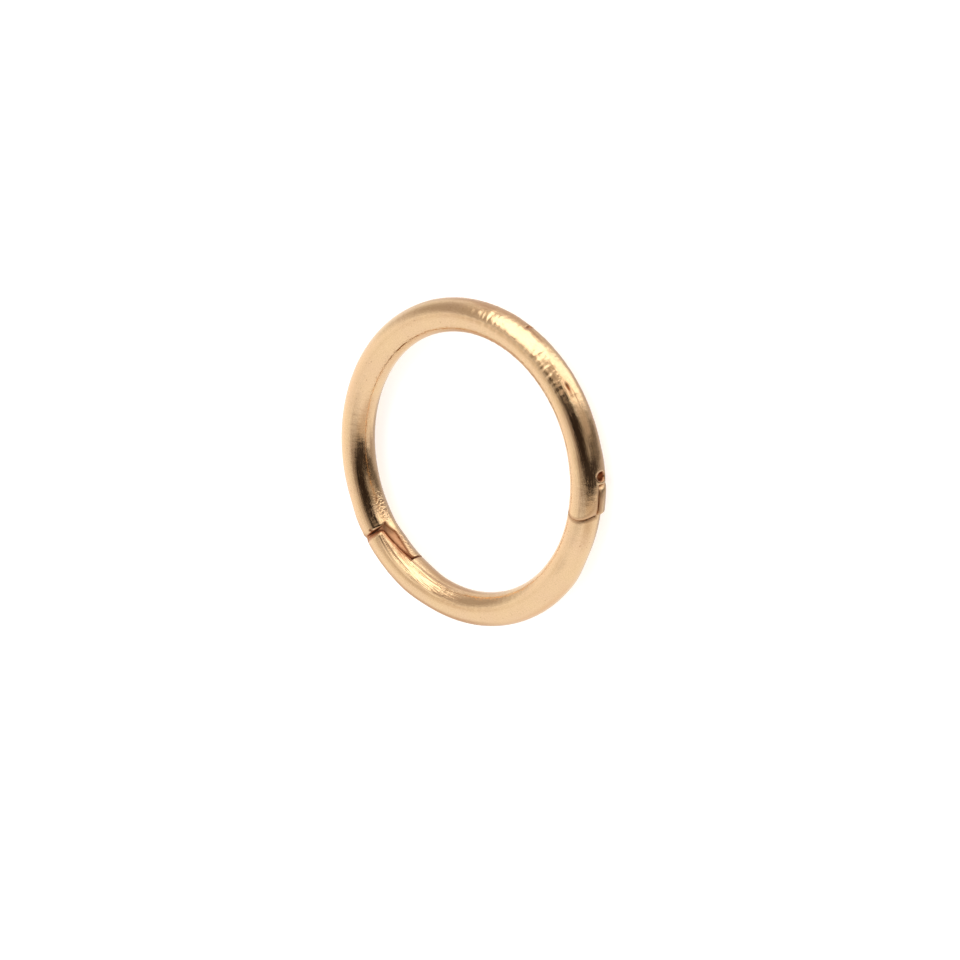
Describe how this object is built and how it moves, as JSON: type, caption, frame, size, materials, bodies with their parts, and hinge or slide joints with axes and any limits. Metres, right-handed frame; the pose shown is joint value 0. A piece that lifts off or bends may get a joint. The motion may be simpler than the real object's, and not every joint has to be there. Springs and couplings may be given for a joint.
{
  "type": "hinged hoop earring",
  "caption": "Round-wire hoop earring with a segment that swings open on a pin hinge and closes with a lapped clasp.",
  "frame": {"origin": "middle of the hoop, on the surface it lies on", "axes": "+Z along the hoop's own axis, upwards as it lies on its side; the segment is on the -X side, the hinge pin towards -Y and the clasp towards +Y"},
  "size_m": [0.0126, 0.0126, 0.0013],
  "materials": {
    "hoop_gold": "polished rose gold with fine drawn ripples",
    "segment_gold": "polished rose gold with fine drawn ripples",
    "pin_gold": "filed flush rose gold"
  },
  "bodies": {
    "hoop": {"hoop_body": "hoop_gold", "hinge_pin": "pin_gold"},
    "segment": {"hinged_segment": "segment_gold"}
  },
  "joints": [
    {"name": "segment_hinge", "type": "hinge", "parent": "hoop", "child": "segment", "pos_m": [-0.00256, -0.00507, 0.00065], "axis": [0, 0, 1], "range_deg": [0, 70]}
  ]
}
